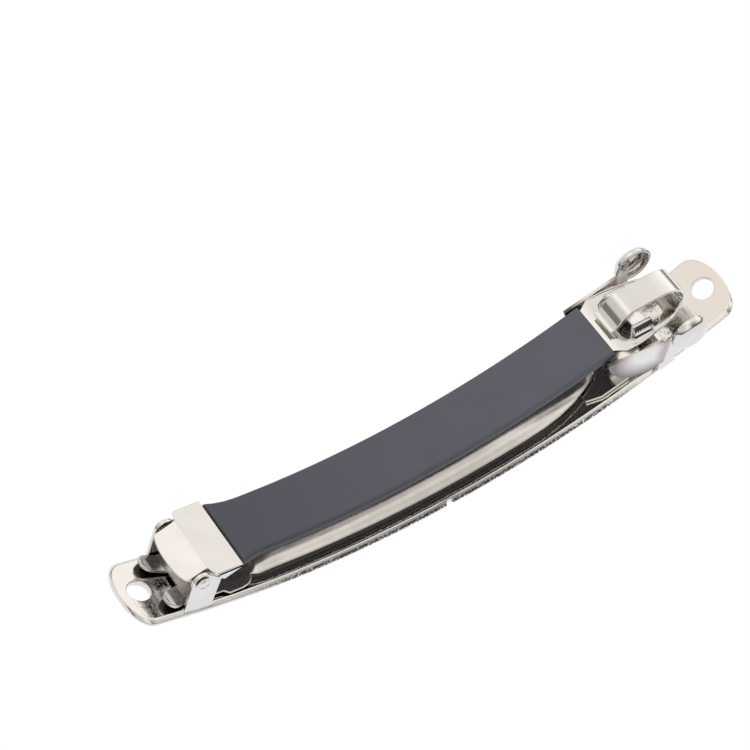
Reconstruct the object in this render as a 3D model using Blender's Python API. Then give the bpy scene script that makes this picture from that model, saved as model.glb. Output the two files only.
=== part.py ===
"""Hinged hair clip with a rubber-sleeved arm, a tension bar and a squeeze catch.

Metres, +Z up. The clip lies on the convex underside of its base, which touches z = 0 at the origin.
The hinge end is at -X, the catch end at +X, and the clip is the same on both sides of the XZ plane.
"""
import math

import bmesh
import bpy
from mathutils import Vector

MM = 0.001

# Base plate
LENGTH = 100.0 * MM
BASE_RADIUS = 115.0 * MM
BASE_WIDTH = 11.2 * MM
BASE_SHEET = 0.9 * MM
EDGE_WIDTH = 0.6 * MM         # the long edges are pressed thinner over this width
EDGE_DROP = 0.5 * MM
END_PAD = 7.0 * MM            # flat stretch at each end, which holds the sewing hole
TIP_DEPTH = 2.8 * MM          # depth of the rounded end
TIP_POWER_SHARE = 2.2
REST_FLAT = 6.0 * MM          # flat stretch at the middle of the underside
HOLE_RADIUS = 1.7 * MM
HOLE_SETBACK = 3.1 * MM       # hole centre, from the end of the base
NOTCH_RADIUS = 0.55 * MM
NOTCH_REACH = 0.5 * MM        # how deep the mid notch cuts into each long edge

# Hinge ears, bent up from the long edges of the base
PIN_SETBACK = 10.3 * MM       # pin axis, from the end of the base along X
PIN_RISE = 6.05 * MM          # pin axis above the top of the base
PIN_RADIUS = 0.65 * MM
PIN_CLEARANCE = 0.1 * MM
PIN_HEAD_RADIUS = 1.1 * MM
PIN_HEAD_HEIGHT = 0.35 * MM
PIN_HEAD_GAP = 0.12 * MM
PIN_CROWN_SHARE = 0.7         # radius of the head's flat face
PIN_EDGE_SHARE = 0.6          # height at which the head's edge turns in
EAR_SHEET = 0.6 * MM
EAR_INSET = 0.3 * MM         # ear's outer face, inside the base's edge
EAR_RING_RADIUS = 1.6 * MM
EAR_FOOT_BACK = 3.3 * MM      # foot of the ear, outboard of the pin
EAR_FOOT_FRONT = 0.9 * MM     # foot of the ear, inboard of the pin
EAR_SHOULDER_X = 2.9 * MM     # shoulder of the ear, inboard of the pin
EAR_SHOULDER_DROP = 1.3 * MM  # shoulder of the ear, below the pin
EAR_ROOT = 0.55 * MM          # depth to which the ears' feet reach into the base

# Clasp arm: one strip that ends in a ring plate, curls up at the tip and runs back as a tongue
ARM_SHEET = 0.5 * MM
ARM_RADIUS = 108.7 * MM
ARM_LOW_X = -4.3 * MM         # lowest place of the arm's arc
ARM_RISE = 8.34 * MM          # underside of the strip above the top of the base, there
ARM_INSET = 1.5 * MM          # strip's edge inside the base's edge
RING_LENGTH = 11.4 * MM       # from the sleeve's end to the axis of the tip curl
RING_LIFT = 0.15 * MM         # ring plate above the strip at the sleeve's end
RING_INSET = 0.4 * MM        # ring plate's edge inside the base's edge
ARCH_HEIGHT = 3.1 * MM        # clear height between ring plate and tongue
TIP_WIDTH = 4.2 * MM
TONGUE_WIDTH = 4.2 * MM
TONGUE_SLOPE = 0.35 * MM      # drop of the tongue from the curl to its bend
TONGUE_CREASE_X = 9.4 * MM    # end of the tongue's flat top, from the sleeve's end
TONGUE_BEND_X = 1.9 * MM      # bend of the tongue, from the sleeve's end
TONGUE_FOOT_X = 0.45 * MM     # foot of the tongue, from the sleeve's end
TONGUE_FOOT_GAP = 0.7 * MM    # centre of the foot's edge above the strip's top
WINDOW_LENGTH = 7.6 * MM
WINDOW_WIDTH = 7.6 * MM
WINDOW_START = 2.4 * MM       # window, from the sleeve's end
WINDOW_CORNER = 1.0 * MM
WINDOW_TAPER_SHARE = 0.72     # where the window begins to narrow
WINDOW_TIP_SHARE = 0.72       # width of its narrow end
WINDOW_CUT_SHARE = 0.3        # middle of the corner's cut

# Cap and tail flap of the arm, over the pin
CAP_SHEET = 0.45 * MM
CAP_CLEARANCE = 0.15 * MM     # cap's underside above the pin
FLAP_REACH = 2.7 * MM         # flap's rounded edge, outboard of the pin
FLAP_DROP = 0.9 * MM          # flap's edge below the cap's bend
FLAP_ROUND = 1.0 * MM
FLAP_GAP = 0.3 * MM          # flap and lugs inside the ears
CAP_BEND_X = 1.2 * MM         # bend between flap and cap, inboard of the pin
CAP_STEP_X = 1.35 * MM        # where the cap widens, inboard of the pin
CAP_STEP_LENGTH = 0.5 * MM
CAP_END_X = 5.95 * MM          # cap's end, inboard of the pin
CAP_OVERHANG = 0.3 * MM       # wide part of the cap, past the base's edge
CAP_LIFT = 0.15 * MM          # cap's end above the arm's strip line, in mid-sheet
SKIRT_SHEET = 0.4 * MM
SKIRT_START_X = 2.4 * MM      # deep end of the skirt, inboard of the pin
SKIRT_END_DEPTH = 0.6 * MM
SKIRT_DEPTH = 1.9 * MM
LUG_SHEET = 0.5 * MM
LUG_RADIUS = 1.5 * MM
JOGGLE_LENGTH = 2.3 * MM      # the strip's step up into the cap

# Rubber sleeve
SLEEVE_GAP = 0.15 * MM        # between the cap's end and the sleeve
SLEEVE_END_SETBACK = 22.0 * MM    # sleeve's catch end, from the end of the base
SLEEVE_WALL = 0.45 * MM
SLEEVE_CLEARANCE = 0.15 * MM
SLEEVE_FLARE = 0.8 * MM      # widening of each side at the hinge end
SLEEVE_FLARE_LENGTH = 4.5 * MM
SLEEVE_CHAMFER = 0.4 * MM
BORE_CHAMFER = 0.1 * MM

# Tension bar
BAR_SHEET = 0.3 * MM
BAR_INSET = 1.65 * MM          # bar's edge inside the base's edge
BAR_CROWN = 1.3 * MM
BAR_CLEARANCE = 1.15 * MM     # bar's underside above the base, along its edges
BAR_SEAT = 0.3 * MM           # the same at its tail, where it sits on the base
BAR_TAIL_GAP = 0.3 * MM      # tail inside the ears
BAR_COLLAR_INSET = 0.55 * MM  # collar between ears and neck, inside the base's edge
BAR_COLLAR_X = 3.6 * MM       # start of the collar's straight edges, inboard of the pin
BAR_COLLAR_LENGTH = 2.0 * MM
BAR_NECK_INSET = 0.45 * MM    # neck between collar and flare, inside the bar's edge
BAR_NECK_X = 7.7 * MM         # neck, inboard of the pin
BAR_TAIL_X = 2.6 * MM         # tail's straight end, outboard of the pin
BAR_EAR_X = 3.0 * MM          # end of the tail's straight edges, inboard of the pin
BAR_FLARE_X = 8.9 * MM        # shoulders of the flare, inboard of the pin
BAR_TAPER_LENGTH = 13.4 * MM  # over which the free end narrows
BAR_OVERHANG = 0.4 * MM       # free end, past the sleeve's catch end
BAR_END_WIDTH = 1.6 * MM
PRONG_SHEET = 0.48 * MM
PRONG_WIDTH = 3.0 * MM
PRONG_SPREAD = 3.4 * MM      # middle of a prong's end, from the clip's middle
PRONG_ROOT_Y = 2.4 * MM       # the same at its root in the tail
PRONG_REACH = 5.8 * MM        # prong's end, outboard of the pin
PRONG_ROUND = 1.5 * MM
PRONG_LIFT = 0.8 * MM         # rise of the turned-up end
PRONG_TURN = 3.0 * MM         # length of the turned-up end
PRONG_OVERLAP = 0.8 * MM      # how far the prongs run into the tail

# Catch, with its places along X counted from the sleeve's catch end
CATCH_SHEET = 0.5 * MM
CATCH_GAP = 0.15 * MM
CATCH_START = 3.4 * MM        # floor's end beneath the sleeve
CATCH_LENGTH = 14.0 * MM
CATCH_INSET = 1.2 * MM        # floor's edge inside the base's edge
FLOOR_END_SHARE = 0.82        # width of the floor's ends
FOOT_PLACE = 9.1 * MM
FOOT_NOTCH = 0.5 * MM         # depth of the base's notches for the feet
FOOT_LENGTH = 2.6 * MM
FOOT_SHEET = 0.3 * MM
FOOT_HOOK = 0.6 * MM          # how far the foot reaches under the base
FOOT_TRIM = 0.05 * MM
WALL_SHEET = 0.5 * MM
WALL_FOOT_INSET = 0.9 * MM    # inner face of the side wall at its foot, inside the base's edge
WALL_SLEEVE_GAP = 0.5 * MM    # inner face of the wall's tip, outside the sleeve
WALL_END_SPREAD = 1.35 * MM   # inner face at the top of the neck, outside that of the tip
WALL_FOOT_GAP = 0.3 * MM
WALL_TOP_GAP = 0.35 * MM      # wall's top below the ring plate
WALL_TIP = 1.8 * MM           # wall's tip, beneath the sleeve
WALL_FOOT_PLACE = 5.0 * MM    # where the wall's curved lower edge comes down to its foot
WALL_FOOT_LENGTH = 2.4 * MM
WALL_CURVE_SHARE = 1.25       # power of the curved edge, 1 for an ellipse
NECK_LENGTH = 2.6 * MM        # neck to the pad, past the wall's foot
NECK_GAP = 0.35 * MM          # neck above the floor's foot
HOOK_PLACE = 3.8 * MM
HOOK_LENGTH = 3.2 * MM
HOOK_LINK_DROP = 0.95 * MM    # link's top below the ring plate
HOOK_LEG_GAP = 0.4 * MM       # leg's outer face inside the window
HOOK_CATCH = 0.35 * MM        # hook over the rail of the window
HOOK_LIFT = 0.25 * MM         # hook above the ring plate
HOOK_TIP = 0.5 * MM
HOOK_HEIGHT = 1.3 * MM
PAD_PLACE = 11.2 * MM
PAD_Z_RISE = -0.7 * MM         # pad's centre above the ring plate's top
PAD_RADIUS = 3.05 * MM
PAD_BULGE = 1.05 * MM
PAD_RIM_OUTSET = 0.2 * MM     # inner side of the pad's rim, outside the neck's inner face
PAD_SHEET = 0.5 * MM
PAD_DISH = 0.3 * MM           # hollow at the middle of the pad
PAD_INNER_SHARE = 0.45        # its edge
PAD_POWER_SHARE = 2.5         # fullness of the dome, 2 for an ellipse
PAD_SHARES = (0.02, 0.2, 0.39, 0.51, 0.72, 0.88, 1.0)

OVERRUN = 1.0 * MM            # how far the cutters pass through
UNION_TRIM = 0.05 * MM        # joined plates stay inside the edges of what carries them


def clear_scene():
    for item in list(bpy.data.objects):
        bpy.data.objects.remove(item, do_unlink=True)


def make_material(name, colour, metallic, roughness):
    material = bpy.data.materials.new(name)
    material.use_nodes = True
    shader = material.node_tree.nodes["Principled BSDF"]
    shader.inputs["Base Color"].default_value = (*colour, 1.0)
    shader.inputs["Metallic"].default_value = metallic
    shader.inputs["Roughness"].default_value = roughness
    return material


def add_object(name, mesh_builder, material=None, parent=None):
    """Makes an object from a filled bmesh, with its faces pointing out."""
    bmesh.ops.recalc_face_normals(mesh_builder, faces=mesh_builder.faces)
    mesh = bpy.data.meshes.new(name)
    mesh_builder.to_mesh(mesh)
    mesh_builder.free()
    item = bpy.data.objects.new(name, mesh)
    bpy.context.collection.objects.link(item)
    if material:
        mesh.materials.append(material)
        mesh.shade_smooth()
        mesh.set_sharp_from_angle(angle=math.radians(35))
    if parent:
        item.parent = parent
        item.matrix_parent_inverse = parent.matrix_world.inverted()
    return item


def make_helper(item):
    item.hide_render = True
    item.display_type = "WIRE"
    return item


def join_shape(item, other, operation):
    modifier = item.modifiers.new(operation.lower(), "BOOLEAN")
    modifier.operation = operation
    modifier.solver = "EXACT"
    modifier.object = make_helper(other)


def loft(rings, closed_rings=True):
    """Bridges rings of points that have the same count, and caps both ends."""
    builder = bmesh.new()
    rows = [[builder.verts.new(point) for point in ring] for ring in rings]
    for first, second in zip(rows, rows[1:]):
        for k in range(len(first)):
            n = (k + 1) % len(first)
            builder.faces.new((first[k], first[n], second[n], second[k]))
    builder.faces.new(rows[0])
    builder.faces.new(rows[-1])
    return builder


def tube(outer, inner):
    """A sleeve: outer and inner rings, joined at both ends."""
    builder = bmesh.new()
    outside = [[builder.verts.new(point) for point in ring] for ring in outer]
    inside = [[builder.verts.new(point) for point in ring] for ring in inner]
    count = len(outside[0])
    for rows in (outside, inside):
        for first, second in zip(rows, rows[1:]):
            for k in range(count):
                n = (k + 1) % count
                builder.faces.new((first[k], first[n], second[n], second[k]))
    for end in (0, -1):
        for k in range(count):
            n = (k + 1) % count
            builder.faces.new((outside[end][k], outside[end][n], inside[end][n], inside[end][k]))
    return builder


def path_normals(path):
    """Unit normals of a path in XZ, to the left of its direction."""
    normals = []
    for k in range(len(path)):
        before = path[max(k - 1, 0)]
        after = path[min(k + 1, len(path) - 1)]
        run = Vector((after[0] - before[0], after[1] - before[1])).normalized()
        normals.append((-run.y, run.x))
    return normals


def flat_section(sheet, across=1):
    """Section of sheet metal, crowned if its station says so: pairs of width share and height."""
    shares = [2 * k / across - 1 for k in range(across + 1)]

    def section(half, crown):
        upper = [(half * share, sheet / 2 + crown * (1 - share * share)) for share in shares]
        lower = [(half * share, -sheet / 2 + crown * (1 - share * share)) for share in reversed(shares)]
        return upper + lower

    return section


def thinned_section(sheet, edge_width, edge_drop):
    """Section of a strip whose upper side slopes down along both edges."""

    def section(half, crown):
        inner = half - edge_width
        top = sheet / 2
        edge = top - edge_drop
        return [(-half, edge), (-inner, top), (inner, top), (half, edge), (half, -top), (-half, -top)]

    return section


def ribbon(stations, section):
    """A strip along a path. A station is (x, z, half width, crown, y of its middle)."""
    normals = path_normals([station[:2] for station in stations])
    rings = []
    for (x, z, half, crown, middle), (nx, nz) in zip(stations, normals):
        rings.append([(x + nx * lift, middle + y, z + nz * lift) for y, lift in section(half, crown)])
    return loft(rings)


def side_plate(outline, y_low, y_high):
    """A plate in XZ between two depths."""
    return loft([[(x, y, z) for x, z in outline] for y in (y_low, y_high)])


def turned(profile, x, z, sides):
    """A solid turned about an axis along Y. The profile is a list of (y, radius)."""
    rings = []
    for y, radius in profile:
        ring = []
        for k in range(sides):
            turn = 2 * math.pi * k / sides
            ring.append((x + radius * math.cos(turn), y, z + radius * math.sin(turn)))
        rings.append(ring)
    return loft(rings)


def drum(centre, direction, radius, height, sides=24):
    """A round cutter along any direction in XZ."""
    along = Vector(direction).normalized()
    across = Vector((0, 1, 0))
    third = along.cross(across)
    rings = []
    for end in (-height / 2, height / 2):
        ring = []
        for k in range(sides):
            turn = 2 * math.pi * k / sides
            spoke = across * math.cos(turn) + third * math.sin(turn)
            ring.append(Vector(centre) + along * end + spoke * radius)
        rings.append(ring)
    return loft(rings)


def arc_points(x, z, radius, start, end, count):
    """Points of an arc in XZ, with angles in degrees from +X towards +Z."""
    points = []
    for k in range(count + 1):
        turn = math.radians(start + (end - start) * k / count)
        points.append((x + radius * math.cos(turn), z + radius * math.sin(turn)))
    return points


def round_end(depth, reach, half, power):
    """Half width at a depth from the end of a rounded strip."""
    if depth >= reach:
        return half
    return half * (1 - (1 - depth / reach) ** 2) ** (1 / power)


# Depths at which a rounded end has its sections
END_DEPTH_SHARES = (0.01, 0.06, 0.16, 0.32, 0.52, 0.75, 1.0)

# Widths that follow the base and the strip
EAR_OUTER_Y = BASE_WIDTH / 2 - EAR_INSET
EAR_INNER_Y = EAR_OUTER_Y - EAR_SHEET
FLAP_WIDTH = 2 * (EAR_INNER_Y - FLAP_GAP)
CAP_WIDTH = BASE_WIDTH + 2 * CAP_OVERHANG
ARM_WIDTH = BASE_WIDTH - 2 * ARM_INSET
RING_WIDTH = BASE_WIDTH - 2 * RING_INSET
SLEEVE_WIDTH = ARM_WIDTH + 2 * (SLEEVE_CLEARANCE + SLEEVE_WALL)
BAR_WIDTH = BASE_WIDTH - 2 * BAR_INSET
BAR_TAIL_WIDTH = 2 * (EAR_INNER_Y - BAR_TAIL_GAP)
CATCH_WIDTH = BASE_WIDTH - 2 * CATCH_INSET
WALL_FOOT_Y = BASE_WIDTH / 2 - WALL_FOOT_INSET
WALL_TIP_Y = SLEEVE_WIDTH / 2 + WALL_SLEEVE_GAP
WALL_NECK_Y = WALL_TIP_Y + WALL_END_SPREAD
PAD_RIM_Y = WALL_NECK_Y + PAD_RIM_OUTSET

# Places on the base, worked out from its arc
REST_SAG = BASE_RADIUS - math.sqrt(BASE_RADIUS ** 2 - REST_FLAT ** 2 / 4)
PAD_TURN = math.asin((LENGTH / 2 - END_PAD) / BASE_RADIUS)
PAD_RUN = END_PAD / math.cos(PAD_TURN)      # the flat end pad, along its slope


def base_point(run, height=0.0):
    """Point at a run from the middle along the base, and its unit normal."""
    bend_run = BASE_RADIUS * PAD_TURN
    along = min(abs(run), bend_run)
    turn = along / BASE_RADIUS
    spare = abs(run) - along
    x = BASE_RADIUS * math.sin(turn) + spare * math.cos(turn)
    z = BASE_RADIUS * (1 - math.cos(turn)) + spare * math.sin(turn) - REST_SAG
    side = 1 if run >= 0 else -1
    normal = (-side * math.sin(turn), math.cos(turn))
    return side * x + normal[0] * height, z + normal[1] * height, normal


def run_at(x):
    """Run along the base at a given X."""
    edge = BASE_RADIUS * math.sin(PAD_TURN)
    side = 1 if x >= 0 else -1
    if abs(x) <= edge:
        return side * BASE_RADIUS * math.asin(abs(x) / BASE_RADIUS)
    return side * (BASE_RADIUS * PAD_TURN + (abs(x) - edge) / math.cos(PAD_TURN))


def base_top(x):
    return base_point(run_at(x))[1] + BASE_SHEET


HALF_RUN = BASE_RADIUS * PAD_TURN + PAD_RUN
PIN_X = -(LENGTH / 2 - PIN_SETBACK)
PIN_Z = base_top(PIN_X) + PIN_RISE

# Places on the arm
ARM_CENTRE_Z = BASE_SHEET + ARM_RISE + ARM_SHEET / 2 + ARM_RADIUS
SLEEVE_START = PIN_X + CAP_END_X + SLEEVE_GAP
SLEEVE_END = LENGTH / 2 - SLEEVE_END_SETBACK
SLEEVE_LENGTH = SLEEVE_END - SLEEVE_START
BAR_END_X = SLEEVE_END + BAR_OVERHANG
BAR_TAPER_X = BAR_END_X - BAR_TAPER_LENGTH
CATCH_START_X = SLEEVE_END - CATCH_START
FOOT_X = SLEEVE_END + FOOT_PLACE
WALL_TIP_X = SLEEVE_END - WALL_TIP
WALL_FOOT_X = SLEEVE_END + WALL_FOOT_PLACE
WALL_END_X = WALL_FOOT_X + WALL_FOOT_LENGTH
HOOK_X = SLEEVE_END + HOOK_PLACE
PAD_X = SLEEVE_END + PAD_PLACE


def arm_middle(x):
    return ARM_CENTRE_Z - math.sqrt(ARM_RADIUS ** 2 - (x - ARM_LOW_X) ** 2)


RING_MIDDLE = arm_middle(SLEEVE_END) + RING_LIFT
RING_TOP = RING_MIDDLE + ARM_SHEET / 2
RING_UNDER = RING_MIDDLE - ARM_SHEET / 2
CAP_BEND_SHARE = CAP_BEND_X / (CAP_BEND_X + FLAP_REACH)
CAP_BEND_Z = PIN_Z + PIN_RADIUS + CAP_CLEARANCE + CAP_SHEET + FLAP_DROP * CAP_BEND_SHARE


def base_stations():
    first = run_at(REST_FLAT / 2)
    bend_run = BASE_RADIUS * PAD_TURN
    steps = 18
    runs = [first + (bend_run - first) * k / steps for k in range(steps + 1)]
    runs += [HALF_RUN - TIP_DEPTH * share for share in reversed(END_DEPTH_SHARES)]
    stations = []
    for run in [-run for run in reversed(runs)] + runs:
        x, z, normal = base_point(run, BASE_SHEET / 2)
        half = round_end(HALF_RUN - abs(run), TIP_DEPTH, BASE_WIDTH / 2, TIP_POWER_SHARE)
        stations.append((x, z, half, 0.0, 0.0))
    return stations


def ear_outline():
    """Outline of an ear in XZ: foot, ring about the pin, shoulder."""
    back_x = PIN_X - EAR_FOOT_BACK
    front_x = PIN_X + EAR_FOOT_FRONT
    ring = arc_points(PIN_X, PIN_Z, EAR_RING_RADIUS, 175, 25, 10)
    outline = [(back_x, base_top(back_x) - EAR_ROOT)]
    outline += ring
    outline += [(PIN_X + EAR_SHOULDER_X, PIN_Z - EAR_SHOULDER_DROP)]
    outline += [(front_x, base_top(front_x) - EAR_ROOT)]
    return outline


def make_base(material):
    """Curved strip with rounded ends, two ears, two sewing holes and a notch in each long edge."""
    strip = ribbon(base_stations(), thinned_section(BASE_SHEET, EDGE_WIDTH, EDGE_DROP))
    base = add_object("base_plate", strip, material)
    for side in (-1, 1):
        low, high = sorted((side * EAR_INNER_Y, side * EAR_OUTER_Y))
        ear = add_object("helper_ear", side_plate(ear_outline(), low, high))
        join_shape(base, ear, "UNION")
    reach = BASE_WIDTH / 2 + OVERRUN
    radius = PIN_RADIUS + PIN_CLEARANCE
    hole = add_object("helper_pin_hole", turned([(-reach, radius), (reach, radius)], PIN_X, PIN_Z, 24))
    join_shape(base, hole, "DIFFERENCE")
    for side in (-1, 1):
        x, z, normal = base_point(side * (HALF_RUN - HOLE_SETBACK), BASE_SHEET / 2)
        cutter = drum((x, 0, z), (normal[0], 0, normal[1]), HOLE_RADIUS, BASE_SHEET + 2 * OVERRUN)
        join_shape(base, add_object("helper_sewing_hole", cutter), "DIFFERENCE")
        edge = side * (BASE_WIDTH / 2 + NOTCH_RADIUS - NOTCH_REACH)
        notch = drum((0, edge, BASE_SHEET / 2), (0, 0, 1), NOTCH_RADIUS, BASE_SHEET + 2 * OVERRUN, 12)
        join_shape(base, add_object("helper_notch", notch), "DIFFERENCE")
        room = []
        above = BASE_SHEET + OVERRUN
        for end, height in ((-1, -OVERRUN), (1, -OVERRUN), (1, above), (-1, above)):
            foot_x, foot_z, normal = base_point(run_at(FOOT_X) + end * (FOOT_LENGTH / 2 + CATCH_GAP), height)
            room.append((foot_x, foot_z))
        low, high = sorted((side * (BASE_WIDTH / 2 - FOOT_NOTCH), side * (BASE_WIDTH / 2 + OVERRUN)))
        join_shape(base, add_object("helper_foot_room", side_plate(room, low, high)), "DIFFERENCE")
    return base


def make_pin(material):
    """Headed pin through both ears."""
    face = EAR_OUTER_Y + PIN_HEAD_GAP
    end = face + PIN_HEAD_HEIGHT
    crown = PIN_HEAD_RADIUS * PIN_CROWN_SHARE
    edge = face + PIN_HEAD_HEIGHT * PIN_EDGE_SHARE
    half = [(face, PIN_RADIUS), (face, PIN_HEAD_RADIUS), (edge, PIN_HEAD_RADIUS), (end, crown)]
    profile = [(-y, radius) for y, radius in reversed(half)] + half
    return add_object("hinge_pin", turned(profile, PIN_X, PIN_Z, 24), material)


# Places along the ring plate, with shares of its lift and half width
RING_SHARES = (
    (0.16, 0.55, 1.0), (0.36, 0.9, 0.985), (0.56, 1.0, 0.93),
    (0.72, 1.0, 0.875), (0.86, 1.0, 0.8), (0.94, 1.0, 0.73),
)
RING_TIP_SHARE = 0.66         # the same where the tip curls up
# Places between curl and bend of the tongue, with shares of its slope
TONGUE_SHARES = ((0.5, 0.3), (0.93, 0.75), (1.03, 1.9))
TONGUE_FOOT_SHARE = 0.96      # width at the tongue's foot


def arm_stations():
    """The strip from its step into the cap, along the arc, round the tip and back as the tongue."""
    cap_end = PIN_X + CAP_END_X
    step_z = cap_middle(cap_end - JOGGLE_LENGTH) - (ARM_SHEET - CAP_SHEET) / 2 - UNION_TRIM
    half = ARM_WIDTH / 2
    stations = [(cap_end - JOGGLE_LENGTH, step_z, half, 0.0, 0.0)]
    first = cap_end + JOGGLE_LENGTH / 4
    mid_x = cap_end - JOGGLE_LENGTH / 2
    stations.append((mid_x, (step_z + arm_middle(mid_x)) / 2, half, 0.0, 0.0))
    stations.append((cap_end - JOGGLE_LENGTH / 6, arm_middle(cap_end - JOGGLE_LENGTH / 6), half, 0.0, 0.0))
    steps = 26
    for k in range(steps + 1):
        x = first + (SLEEVE_END - first) * k / steps
        stations.append((x, arm_middle(x), half, 0.0, 0.0))
    curl_x = SLEEVE_END + RING_LENGTH
    ring_half = RING_WIDTH / 2
    for run_share, lift_share, half_share in RING_SHARES:
        x = SLEEVE_END + RING_LENGTH * run_share
        stations.append((x, RING_MIDDLE - RING_LIFT * (1 - lift_share), ring_half * half_share, 0.0, 0.0))
    radius = (ARCH_HEIGHT + ARM_SHEET) / 2
    crease = SLEEVE_END + TONGUE_CREASE_X
    turns = 10
    for k, (x, z) in enumerate(arc_points(curl_x, RING_MIDDLE + radius, radius, -90, 90, turns)):
        share = k / turns
        if share > 0.5:
            x = crease + (curl_x + radius - crease) * (x - curl_x) / radius
        tip_half = ring_half * RING_TIP_SHARE * (1 - share) ** 2 + TIP_WIDTH / 2 * (1 - (1 - share) ** 2)
        stations.append((x, z, tip_half, 0.0, 0.0))
    tongue_z = RING_MIDDLE + 2 * radius
    bend = SLEEVE_END + TONGUE_BEND_X
    foot = SLEEVE_END + TONGUE_FOOT_X
    foot_z = arm_middle(foot) + ARM_SHEET / 2 + TONGUE_FOOT_GAP
    tongue_half = TONGUE_WIDTH / 2
    for run_share, slope_share in TONGUE_SHARES:
        x = crease + (bend - crease) * run_share
        stations.append((x, tongue_z - TONGUE_SLOPE * slope_share, tongue_half, 0.0, 0.0))
    stations.append((foot, foot_z, tongue_half * TONGUE_FOOT_SHARE, 0.0, 0.0))
    return stations


def cap_middle(x):
    """Middle of the cap's sheet at a place between its bend and its end."""
    bend = PIN_X + CAP_BEND_X
    end = PIN_X + CAP_END_X
    end_z = arm_middle(end) + ARM_SHEET / 2 + SLEEVE_CLEARANCE + SLEEVE_WALL - CAP_SHEET / 2 + CAP_LIFT
    share = (x - bend) / (end - bend)
    return (CAP_BEND_Z - CAP_SHEET / 2) * (1 - share) + end_z * share


BEND_LEAD_SHARE = 0.35        # last place before the bend
BEND_DROP_SHARE = 0.11        # with this share of the flap's drop


def cap_stations():
    """Flap with a rounded edge, bend over the pin, and the cap that widens past the ears."""
    tip_x = PIN_X - FLAP_REACH
    bend_x = PIN_X + CAP_BEND_X
    bend_z = CAP_BEND_Z - CAP_SHEET / 2
    half = FLAP_WIDTH / 2
    stations = []
    for share in END_DEPTH_SHARES:
        depth = FLAP_ROUND * share
        drop = FLAP_DROP * (1 - depth / (bend_x - tip_x))
        stations.append((tip_x + depth, bend_z - drop, round_end(depth, FLAP_ROUND, half, 2.0), 0.0, 0.0))
    lead_x = bend_x - CAP_BEND_X * BEND_LEAD_SHARE
    stations.append((lead_x, bend_z - FLAP_DROP * BEND_DROP_SHARE, half, 0.0, 0.0))
    stations.append((bend_x, bend_z, half, 0.0, 0.0))
    for step_share, width_share in ((0.0, 0.0), (0.5, 0.65), (1.0, 1.0)):
        x = PIN_X + CAP_STEP_X + CAP_STEP_LENGTH * step_share
        stations.append((x, cap_middle(x), half + (CAP_WIDTH / 2 - half) * width_share, 0.0, 0.0))
    end = PIN_X + CAP_END_X
    stations.append((end, cap_middle(end), CAP_WIDTH / 2, 0.0, 0.0))
    return stations


def lug_outline():
    """Round lug about the pin, up into the cap."""
    top = CAP_BEND_Z - CAP_SHEET / 2 - FLAP_DROP * BEND_DROP_SHARE
    outline = [(PIN_X - LUG_RADIUS, PIN_Z)]
    outline += arc_points(PIN_X, PIN_Z, LUG_RADIUS, 190, 350, 10)
    outline += [(PIN_X + LUG_RADIUS, top), (PIN_X - LUG_RADIUS / 3, top - CAP_SHEET / 3)]
    return outline


def make_arm(material, hinge):
    """Strip, ring plate, tip curl and tongue, with the cap, its skirts and the two hinge lugs."""
    arm = add_object("clasp_arm", ribbon(arm_stations(), flat_section(ARM_SHEET)), material, hinge)
    cap = add_object("helper_cap", ribbon(cap_stations(), flat_section(CAP_SHEET)))
    join_shape(arm, cap, "UNION")
    lug_outer = FLAP_WIDTH / 2 - UNION_TRIM
    for side in (-1, 1):
        low, high = sorted((side * lug_outer, side * (lug_outer - LUG_SHEET)))
        join_shape(arm, add_object("helper_lug", side_plate(lug_outline(), low, high)), "UNION")
        start = PIN_X + SKIRT_START_X
        bend = start + SKIRT_END_DEPTH
        end = PIN_X + CAP_END_X - UNION_TRIM
        skirt = [
            (start, cap_middle(start)),
            (end, cap_middle(end)),
            (end, cap_middle(end) - SKIRT_END_DEPTH),
            (bend, cap_middle(bend) - SKIRT_DEPTH),
            (start, cap_middle(start) - SKIRT_DEPTH + SKIRT_END_DEPTH),
        ]
        outer = CAP_WIDTH / 2 - UNION_TRIM
        low, high = sorted((side * outer, side * (outer - SKIRT_SHEET)))
        join_shape(arm, add_object("helper_skirt", side_plate(skirt, low, high)), "UNION")
    reach = BASE_WIDTH / 2 + OVERRUN
    radius = PIN_RADIUS + PIN_CLEARANCE
    hole = add_object("helper_lug_hole", turned([(-reach, radius), (reach, radius)], PIN_X, PIN_Z, 24))
    join_shape(arm, hole, "DIFFERENCE")
    join_shape(arm, add_object("helper_window", window_cutter()), "DIFFERENCE")
    return arm


def window_cutter():
    """Window of the ring plate, round at its corners and narrower towards the tip."""
    start = SLEEVE_END + WINDOW_START
    end = start + WINDOW_LENGTH
    half = WINDOW_WIDTH / 2
    tip_half = half * WINDOW_TIP_SHARE
    corner = WINDOW_CORNER
    cut = corner * WINDOW_CUT_SHARE
    outline = [(start, -half + corner), (start + cut, -half + cut), (start + corner, -half)]
    outline += [(start + WINDOW_LENGTH * WINDOW_TAPER_SHARE, -half), (end - corner, -tip_half)]
    outline += [(end - cut, -tip_half + cut), (end, -tip_half + corner)]
    outline += [(x, -y) for x, y in reversed(outline)]
    low = RING_UNDER - OVERRUN
    high = RING_TOP + OVERRUN
    return loft([[(x, y, z) for x, y in outline] for z in (low, high)])


def sleeve_ring(x, half, rise, drop, chamfer):
    """Chamfered section across the arm, with its own half width and heights."""
    z = arm_middle(x)
    turn = math.asin((x - ARM_LOW_X) / ARM_RADIUS)
    normal = (-math.sin(turn), math.cos(turn))
    section = [
        (-half, -drop + chamfer), (-half + chamfer, -drop), (half - chamfer, -drop), (half, -drop + chamfer),
        (half, rise - chamfer), (half - chamfer, rise), (-half + chamfer, rise), (-half, rise - chamfer),
    ]
    return [(x + normal[0] * height, y, z + normal[1] * height) for y, height in section]


SLEEVE_FLARE_SHARES = (0.0, 0.3, 0.65)


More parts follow.
